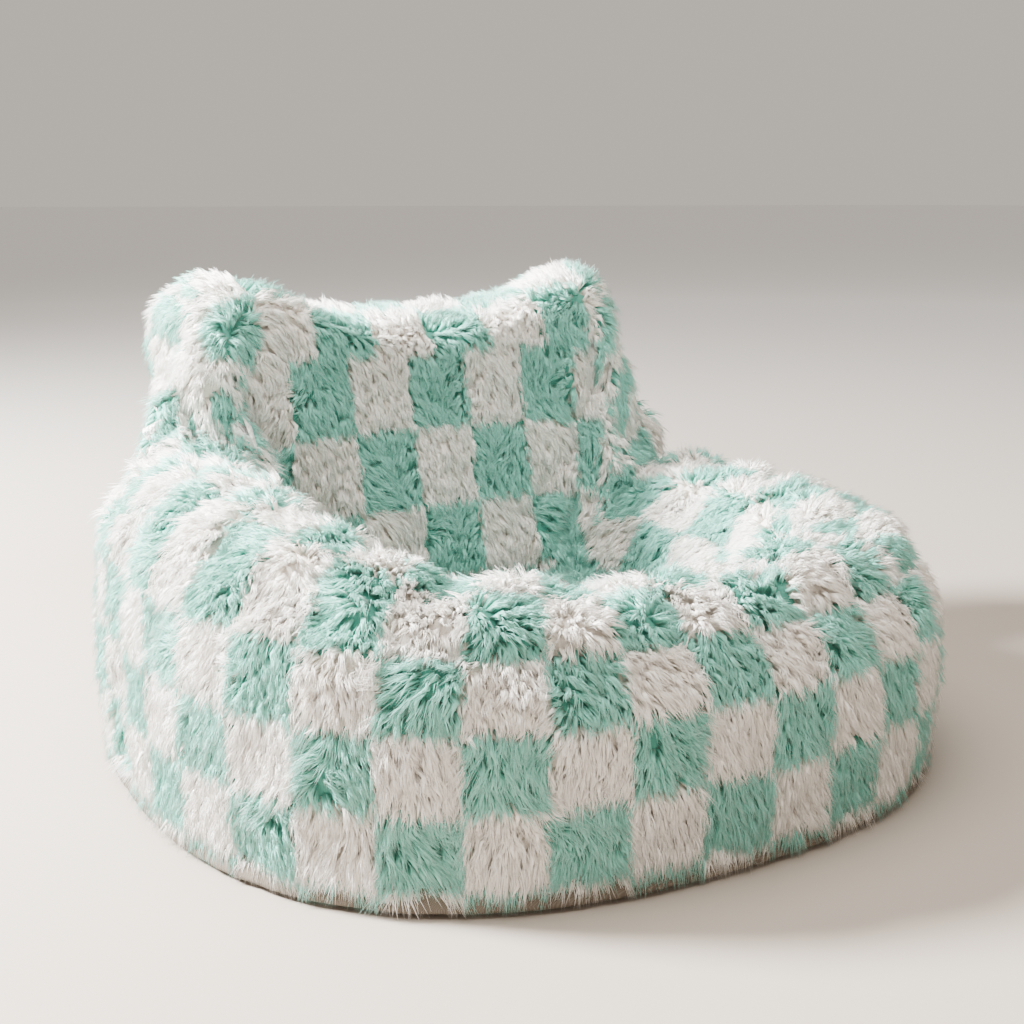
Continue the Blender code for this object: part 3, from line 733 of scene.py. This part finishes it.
def skin_pieces(material):
    """One padded backing for each plush panel."""
    count_r, count_c = len(ROWS), len(TURNS)
    quads = grid_quads(count_r, count_c)
    middle_row = np.repeat((ROWS[:-1] + ROWS[1:]) / 2, count_c - 1)
    middle_turn = np.tile((DEGREES[:-1] + DEGREES[1:]) / 2, count_r - 1)
    middles = SKIN.reshape(-1, 3)[quads].mean(1)
    owner = panel_of(middle_row, middle_turn)
    kept = (middle_row > EDGE_ROW - 0.2) & ~zip_opening(middles)
    rows, degrees = np.meshgrid(ROWS, DEGREES, indexing="ij")
    around = np.tile(AROUND, (count_r, 1))
    u, v = check_cells(rows, degrees, TIPS, around, BACK_X, UP_WALL, OVER_RIM, FROM_SEAT)
    mint = is_mint(u, v).astype(np.float32).ravel()
    for panel in PANELS:
        faces = quads[kept & (owner == panel)]
        used, inverse = np.unique(faces, return_inverse=True)
        mesh = mesh_from(f"{panel}_backing", SKIN.reshape(-1, 3)[used], inverse.reshape(-1, 4))
        mesh.attributes.new("mint", "FLOAT", "POINT").data.foreach_set("value", mint[used])
        mesh.materials.append(material)
        weld(mesh)
        piece = new_object(f"{panel}_backing", mesh)
        thicken(piece, BACKING_THICKNESS)
        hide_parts(f"{panel}_panel")


# ---------------------------------------------------------------- pile


def scatter(count, rng):
    """Places spread evenly over the skin and closer at its lower edge, in grid steps."""
    cross = np.cross(SKIN[1:, :-1] - SKIN[:-1, :-1], SKIN[:-1, 1:] - SKIN[:-1, :-1])
    area = np.linalg.norm(cross, axis=-1)
    area[line_of(EDGE_ROW):][:EDGE_CELLS] *= EDGE_DENSITY
    area = area.ravel()
    total = np.cumsum(area)
    picks = (np.arange(count) + rng.uniform(size=count)) / count * total[-1]
    cell = np.searchsorted(total, picks).clip(0, len(area) - 1)
    row, column = np.divmod(cell, len(TURNS) - 1)
    return row + rng.uniform(size=count), column + rng.uniform(size=count)


def facts_at(row, column):
    """What the pile needs to know at places on the grid."""
    place = {
        "root": on_grid(SKIN, row, column),
        "out": unit(on_grid(SKIN_OUT, row, column)),
        "row": on_grid(np.repeat(ROWS[:, None], len(TURNS), 1), row, column),
        "degrees": on_grid(np.tile(DEGREES, (len(ROWS), 1)), row, column),
    }
    around = on_grid(np.tile(AROUND, (len(ROWS), 1)), row, column)
    up = on_grid(UP_WALL, row, column)
    back_x = on_grid(BACK_X, row, column)
    over = on_grid(OVER_RIM, row, column)
    seat = on_grid(FROM_SEAT, row, column)
    tips = on_grid(TIPS, row, column)
    place["u"], place["v"] = check_cells(place["row"], place["degrees"], tips, around, back_x, up, over, seat)
    place["up_wall"] = up
    return place


def along_surface(vectors, out):
    return vectors - dot(vectors, out) * out


def comb(place, row, column):
    """The way the pile lies at each lock: mostly down, swirled, and out from the middle of its square."""
    root, out = place["root"], place["out"]
    down = along_surface(np.array((0, 0, -1.0)), out)
    swirl = np.stack([waves(root, 0.10, seed) for seed in (11, 12, 13)], -1)
    swirl = along_surface(swirl, out)
    level = unit(along_surface(on_grid(np.gradient(TIPS, axis=1), row, column), out))
    climb = unit(along_surface(on_grid(np.gradient(TIPS, axis=0), row, column), out))
    in_u = place["u"] - np.floor(place["u"]) - 0.5
    in_v = place["v"] - np.floor(place["v"]) - 0.5
    radial = level * in_u[:, None] + climb * in_v[:, None]
    mint = is_mint(place["u"], place["v"])
    away = np.where(mint, *PARTING)[:, None] * radial
    lie = down + np.where(mint, *SWIRL)[:, None] * swirl + away
    flat = smooth(out[:, 2:], 0.5, 0.95)
    rim = (place["row"] > RIM_ROW - 1) & (place["row"] < SEAT_ROW - 3)
    lie = lie + OUTWARD_PULL * flat * rim[:, None] * along_surface(unit(root * (1, 1, 0)), out)
    for middle in EARS:
        apart = along_surface(root - middle, out)
        far = np.linalg.norm(root - middle, axis=-1, keepdims=True)
        lie = lie + EAR_PULL * np.exp(-((far / EAR_REACH) ** 2)) * unit(apart)
    return unit(lie + 1e-4)


def locks(rng):
    """The middle of each lock of pile in grid steps, and what the pile needs to know there."""
    row, column = scatter(LOCKS, rng)
    place = facts_at(row, column)
    keep = place["row"] > EDGE_ROW + 0.02
    zip_low, zip_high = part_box("cover_zip_left_tape")
    channel = (np.abs(place["root"][:, 0]) < CHANNEL) & (place["root"][:, 1] > REAR_Y)
    channel &= (place["root"][:, 2] < zip_high.z + 0.012) & (place["root"][:, 2] > zip_low.z - 0.01)
    keep &= ~channel
    row, column = row[keep], column[keep]
    place = facts_at(row, column)
    return row, column, place


def grid_steps():
    """Metres to a step of the grid, along rows and along columns."""
    down = np.linalg.norm(np.gradient(TIPS, axis=0), axis=-1)
    across = np.linalg.norm(np.gradient(TIPS, axis=1), axis=-1)
    return np.maximum(down, 1e-4), np.maximum(across, 1e-4)


def grow():
    """The strands and cores of all locks: their bent centre lines, width, shade, panel and colour."""
    rng = np.random.default_rng(7)
    row, column, place = locks(rng)
    count = len(row)
    lie = comb(place, row, column)
    steps = [on_grid(step, row, column) for step in grid_steps()]
    looks = {
        "lift": rng.normal(0, 0.09, count), "length": rng.normal(1, 0.09, count),
        "curl": rng.normal(0, 0.0030, count), "gather": rng.uniform(0.10, 0.60, count),
        "tint": rng.normal(0.5, 0.20, count),
    }
    kinds = {}
    for kind, each, width in (("strand", LOCK_SIZE, STRAND_WIDTH), ("core", 1, CORE_WIDTH)):
        lock = np.repeat(np.arange(count), each)
        total = len(lock)
        angle = rng.uniform(0, 2 * math.pi, total)
        spread = LOCK_RADIUS * np.sqrt(rng.uniform(size=total)) * (each > 1)
        own_row = row[lock] + (spread * np.sin(angle) / steps[0][lock]).clip(-3, 3)
        own_column = column[lock] + (spread * np.cos(angle) / steps[1][lock]).clip(-6, 6)
        own_row = own_row.clip(line_of(EDGE_ROW), len(ROWS) - 1.01)
        own_column = own_column.clip(0, len(TURNS) - 1.01)
        own = facts_at(own_row, own_column)
        root, out = own["root"], own["out"]
        way = unit(along_surface(lie[lock] + 0.17 * rng.normal(size=(total, 3)), out))
        rise = mix(0.50, 0.64, smooth(out[:, 2], 0.2, 0.9))
        lift = rise + looks["lift"][lock] + rng.normal(0, 0.05, total)
        length = PILE_LENGTH * looks["length"][lock] * rng.normal(1, 0.07, total)
        low = smooth(own["up_wall"], 0.030, 0.085)
        lift = lift.clip(0.20, 0.85)
        length = length * mix(1.20, 1.0, low) * (1.0 if each > 1 else CORE_LENGTH_SHARE)
        reach = np.sqrt(1 - lift**2)[:, None]
        lift, span = lift[:, None], length[:, None]
        sideways = unit(np.cross(way, out))
        curl = (looks["curl"][lock] + rng.normal(0, 0.0008, total))[:, None]
        gather = along_surface(place["root"][lock] - root, out) * looks["gather"][lock][:, None]
        bend = root + span * (out * (0.18 + 0.50 * lift) + 0.20 * way)
        tip = root + span * (out * lift * 0.92 + way * reach * 0.82) + gather
        tip[:, 2] -= mix(0.20, 0.10, low) * length
        line = []
        for t in [level for level, taper in STRAND_LEVELS] + [1.0]:
            point = (1 - t) ** 2 * root + 2 * t * (1 - t) * bend + t**2 * tip
            line.append(point + sideways * curl * math.sin(math.pi * t))
        line = np.stack(line, 1)
        line[..., 2] = np.maximum(line[..., 2], 0.0030)
        apart_zip(line, own)
        kinds[kind] = {
            "line": line, "mint": colour_of(own_row, own_column, root, tip),
            "tint": (looks["tint"][lock] + rng.normal(0, 0.15 if each > 1 else 0.05, total)).clip(0, 1),
            "width": width * rng.uniform(0.75, 1.25, total),
            "panel": panel_of(own["row"], own["degrees"]),
        }
    return kinds, rng


def colour_of(row, column, root, tip):
    """True for mint: the print is on the outer part of the pile, so its place there counts."""
    shift = 0.55 * (tip - root)
    across = on_grid(np.gradient(TIPS, axis=1), row, column)
    climb = on_grid(np.gradient(TIPS, axis=0), row, column)
    shift_column = (dot(shift, across) / np.maximum(dot(across, across), 1e-7))[:, 0].clip(-6, 6)
    shift_row = (dot(shift, climb) / np.maximum(dot(climb, climb), 1e-7))[:, 0].clip(-6, 6)
    there = facts_at(row + shift_row, (column + shift_column).clip(0, len(TURNS) - 1.01))
    return is_mint(there["u"], there["v"])


def apart_zip(line, own):
    """Combs the pile beside the zip away from it."""
    side = np.where(own["degrees"] > 0, 1.0, -1.0)
    near = (np.abs(line[:, 0, 0]) < 0.05) & (line[:, 0, 1] > REAR_Y) & (line[:, 0, 2] < 0.415)
    for level in range(1, line.shape[1]):
        x = line[:, level, 0] * side
        least = CHANNEL + 0.002 * level + 0.06 * np.abs(line[:, 0, 0])
        line[:, level, 0] = np.where(near, np.maximum(x, least) * side, line[:, level, 0])


def strand_mesh(name, line, width, tint, rng):
    """A closed, tapered strand round each centre line."""
    levels, sides = STRAND_LEVELS, STRAND_SIDES
    count = len(line)
    axis = unit(line[:, -1] - line[:, 0])
    first = unit(np.cross(axis, unit(rng.normal(size=(count, 3)))))
    second = np.cross(axis, first)
    rings = len(levels)
    points = np.empty((count, sides * rings + 1, 3))
    for ring, (level, taper) in enumerate(levels):
        for corner in range(sides):
            turn = 2 * math.pi * corner / sides
            off = math.cos(turn) * first + math.sin(turn) * second
            points[:, sides * ring + corner] = line[:, ring] + off * (width * taper)[:, None]
    points[:, -1] = line[:, -1]
    faces, sizes, spots = [], [], []
    for ring in range(rings - 1):
        low, high = levels[ring][0], levels[ring + 1][0]
        for corner in range(sides):
            after = (corner + 1) % sides
            a, b = sides * ring, sides * ring + sides
            faces += [a + corner, a + after, b + after, b + corner]
            spots += [(corner, low), (corner + 1, low), (corner + 1, high), (corner, high)]
            sizes.append(4)
    last, tip = sides * (rings - 1), sides * rings
    for corner in range(sides):
        faces += [last + corner, last + (corner + 1) % sides, tip]
        spots += [(corner, levels[-1][0]), (corner + 1, levels[-1][0]), (corner + 0.5, 1.0)]
        sizes.append(3)
    faces += list(range(sides - 1, -1, -1))
    spots += [(corner, 0.01 * (corner % 2)) for corner in range(sides - 1, -1, -1)]
    sizes.append(sides)
    faces, sizes, spots = np.array(faces), np.array(sizes), np.array(spots)
    mesh = bpy.data.meshes.new(name)
    mesh.vertices.add(points.shape[0] * points.shape[1])
    mesh.vertices.foreach_set("co", points.astype(np.float32).ravel())
    loops = (faces[None] + (np.arange(count) * points.shape[1])[:, None]).ravel()
    mesh.loops.add(len(loops))
    mesh.loops.foreach_set("vertex_index", loops.astype(np.int32))
    starts = np.concatenate([[0], np.cumsum(sizes)[:-1]])[None] + (np.arange(count) * len(faces))[:, None]
    mesh.polygons.add(count * len(sizes))
    mesh.polygons.foreach_set("loop_start", starts.ravel().astype(np.int32))
    mesh.polygons.foreach_set("use_smooth", np.ones(count * len(sizes), bool))
    side = math.ceil(math.sqrt(count))
    cell = np.stack([np.arange(count) % side, np.arange(count) // side], -1)[:, None]
    inside = spots / (sides, 1) * 0.9 + 0.05
    layer = mesh.uv_layers.new(name="OFBake")
    layer.uv.foreach_set("vector", ((cell + inside[None]) / side).astype(np.float32).ravel())
    along = np.append(np.repeat([level for level, taper in levels], sides), 1.0)
    store(mesh, "along", np.tile(along, count))
    store(mesh, "tint", np.repeat(tint, points.shape[1]))
    mesh.update(calc_edges=True)
    return mesh


def store(mesh, name, values):
    mesh.attributes.new(name, "FLOAT", "POINT").data.foreach_set("value", values.astype(np.float32))


def pile_pieces(furs):
    """The pile of each panel, by colour, in pieces of at most MOST_STRANDS."""
    kinds, rng = grow()
    for kind, pile in kinds.items():
        for panel in PANELS:
            for colour, fur in furs.items():
                picked = np.flatnonzero((pile["panel"] == panel) & (pile["mint"] == (colour == "mint")))
                parts = math.ceil(len(picked) / MOST_STRANDS)
                order = np.argsort(pile["line"][picked, 0, 0])
                for number, part in enumerate(np.array_split(picked[order], parts)):
                    name = f"{panel}_{colour}_{kind}s_{number + 1}"
                    line, width, tint = (pile[key][part] for key in ("line", "width", "tint"))
                    mesh = strand_mesh(name, line, width, tint, rng)
                    mesh.materials.append(fur)
                    new_object(name, mesh)


# ---------------------------------------------------------------- base, inner bag and zips


def base_piece(material):
    """The woven base, stretched under the fill and turned up at its edge."""
    share = np.array((0.0, 0.2, 0.4, 0.6, 0.75, 0.88, 0.95, 1.0))
    turn = np.linspace(-math.pi, math.pi, 181)
    rings = surface(turn)
    floor = rings[BASE_ROW][None] * share[:, None, None]
    floor[..., 2] = 0.0
    edge = spline_rows(rings, BASE_ROW + np.linspace(0, 1, 7)[1:])
    out = unit(edge * (1, 1, 0))
    wrinkle = 0.0012 * waves(edge, 0.035, 21)
    edge = edge - out * (0.0016 + np.abs(wrinkle))[..., None]
    points = np.concatenate([floor, edge])
    points[..., 2] = np.maximum(points[..., 2], 0.0)
    mesh = mesh_from("woven_base", points.reshape(-1, 3), grid_quads(*points.shape[:2]))
    weld(mesh)
    mesh.materials.append(material)
    piece = new_object("woven_base", mesh)
    thicken(piece, WOVEN_THICKNESS)
    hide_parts("base_panel")


def inner_pieces(cloth, beads):
    """The inner bag, creased under the cover, with a slit behind its zip; and the fill it holds."""
    behind_zip = TIPS - LINER_DEPTH * OUTWARD
    under = SKIN - (0.0045 + 0.0012 * np.abs(waves(TIPS, 0.055, 31)))[..., None] * SKIN_OUT
    liner = mix(under, behind_zip, BY_ZIP[..., None])
    fill = liner - (0.0075 + 0.0015 * np.abs(waves(TIPS, 0.030, 32)))[..., None] * SKIN_OUT
    quads = grid_quads(len(ROWS), len(TURNS))
    low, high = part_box("liner_zip_left_tape")
    for name, points, floor, material, slot in (
        ("inner_bag", liner, 0.0040, cloth, "liner"), ("loose_fill", fill, 0.0120, beads, "fill"),
    ):
        points = points.reshape(-1, 3).copy()
        points[:, 2] = np.maximum(points[:, 2], floor)
        middles = points[quads].mean(1)
        slit = (np.abs(middles[:, 0]) < LINER_SLIT) & (middles[:, 1] > REAR_Y) & (slot == "liner")
        slit &= (middles[:, 2] > low.z + 0.004) & (middles[:, 2] < high.z - 0.004)
        mesh = mesh_from(name, points, quads[~slit])
        weld(mesh, cap_below=floor + 0.003)
        mesh.materials.append(material)
        piece = new_object(name, mesh)
        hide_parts("inner_liner" if slot == "liner" else "bead_fill")


def bead_material():
    """Small round beads packed together, painted darker towards their edges as shade between them."""
    material, tree, shader = new_material("beads", 0.6)
    beads = add_node(tree, "ShaderNodeTexVoronoi")
    beads.inputs["Scale"].default_value = 220
    tree.links.new(add_node(tree, "ShaderNodeTexCoord").outputs["Object"], beads.inputs["Vector"])
    # Painted shade: each bead is palest in its middle and darkens where it meets the next
    colour = ramp(tree, beads.outputs["Distance"], ((0.1, (0.92, 0.92, 0.91)), (0.8, (0.62, 0.61, 0.59))))
    tree.links.new(colour, shader.inputs["Base Color"])
    raised = add_node(tree, "ShaderNodeBump", invert=True)
    raised.inputs["Distance"].default_value = 0.002
    tree.links.new(beads.outputs["Distance"], raised.inputs["Height"])
    tree.links.new(raised.outputs["Normal"], shader.inputs["Normal"])
    return material


def finish_cad_nodes(metal, mint_tape, white_tape):
    """Materials for the CAD parts that are left showing, which are those of the zips."""
    looks = {
        "cover_zip_left_tape": mint_tape, "cover_zip_right_tape": mint_tape,
        "liner_zip_left_tape": white_tape, "liner_zip_right_tape": white_tape,
    }
    for name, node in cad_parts.items():
        if node.hide_render:
            continue
        material = looks.get(name, metal)
        node.data.materials.clear()
        node.data.materials.append(material)


# ---------------------------------------------------------------- stage


def add_light(name, place, size, power, colour):
    lamp = bpy.data.lights.new(name, "AREA")
    lamp.shape = "DISK"
    lamp.size = size
    lamp.energy = power
    lamp.color = colour
    holder = bpy.data.objects.new(name, lamp)
    holder.location = place
    holder.rotation_euler = (Vector(LIGHT_AIM) - Vector(place)).to_track_quat("-Z", "Y").to_euler()
    bpy.context.scene.collection.objects.link(holder)


def stage():
    """The floor, painted darker round the bag as painted shade and paler further out, and the light of the
    studio.
    """
    mesh = bpy.data.meshes.new("floor")
    bm = bmesh.new()
    bmesh.ops.create_grid(bm, x_segments=1, y_segments=1, size=FLOOR_HALF_SIZE)
    bm.to_mesh(mesh)
    bm.free()
    material, tree, shader = new_material("pale_floor", 0.65)
    apart = add_node(tree, "ShaderNodeVectorMath", operation="LENGTH")
    tree.links.new(add_node(tree, "ShaderNodeTexCoord").outputs["Object"], apart.inputs[0])
    share = add_node(tree, "ShaderNodeMath", operation="MULTIPLY")
    share.inputs[1].default_value = 0.1
    tree.links.new(apart.outputs["Value"], share.inputs[0])
    # Painted shade: the floor is darkest within about 1.2 m of the bag and pales out to about 8.5 m
    pale = ramp(tree, share.outputs[0], ((0.12, (0.34, 0.30, 0.26)), (0.85, (0.90, 0.89, 0.88))))
    tree.links.new(pale, shader.inputs["Base Color"])
    mesh.materials.append(material)
    floor = bpy.data.objects.new("floor", mesh)
    bpy.context.scene.collection.objects.link(floor)
    world = bpy.data.worlds.new("studio")
    bpy.context.scene.world = world
    world.use_nodes = True
    world.node_tree.nodes["Background"].inputs["Color"].default_value = WORLD_COLOUR
    world.node_tree.nodes["Background"].inputs["Strength"].default_value = WORLD_STRENGTH
    for light in LIGHTS:
        add_light(*light)


def camera():
    lens = bpy.data.cameras.new("camera")
    lens.lens = 50
    lens.sensor_width = 36
    eye = bpy.data.objects.new("camera", lens)
    turn, pitch = CAMERA_TURN, CAMERA_PITCH
    eye.location = (-CAMERA_DISTANCE * math.sin(turn), -CAMERA_DISTANCE * math.cos(turn), CAMERA_HEIGHT)
    ahead = Vector((math.sin(turn) * math.cos(pitch), math.cos(turn) * math.cos(pitch), -math.sin(pitch)))
    eye.rotation_euler = ahead.to_track_quat("-Z", "Y").to_euler()
    bpy.context.scene.collection.objects.link(eye)
    bpy.context.scene.camera = eye


def main():
    skin_pieces(skin_material())
    mint = fur_material("mint_pile", MINT_ROOT_PAINTED_SHADE, MINT_BODY, MINT_TIP, (0.72, 0.84, 0.82))
    white = fur_material("white_pile", WHITE_ROOT_PAINTED_SHADE, WHITE_BODY, WHITE_TIP, (0.88, 0.85, 0.80))
    pile_pieces({"mint": mint, "white": white})
    # The base cloth is beige, painted much darker as painted shade under the edge of the bag
    base_piece(woven_material("beige_weave_painted_shade", (0.080, 0.066, 0.052), (0.170, 0.145, 0.115), 0.0012))
    liner_cloth = woven_material("liner_cloth", (0.66, 0.65, 0.62), (0.82, 0.81, 0.79), 0.0008)
    inner_pieces(liner_cloth, bead_material())
    finish_cad_nodes(
        metal_material(),
        tape_material("mint_tape", (0.16, 0.42, 0.36), (0.32, 0.62, 0.54)),
        tape_material("white_tape", (0.62, 0.61, 0.58), (0.80, 0.79, 0.77)),
    )
    stage()
    camera()


main()
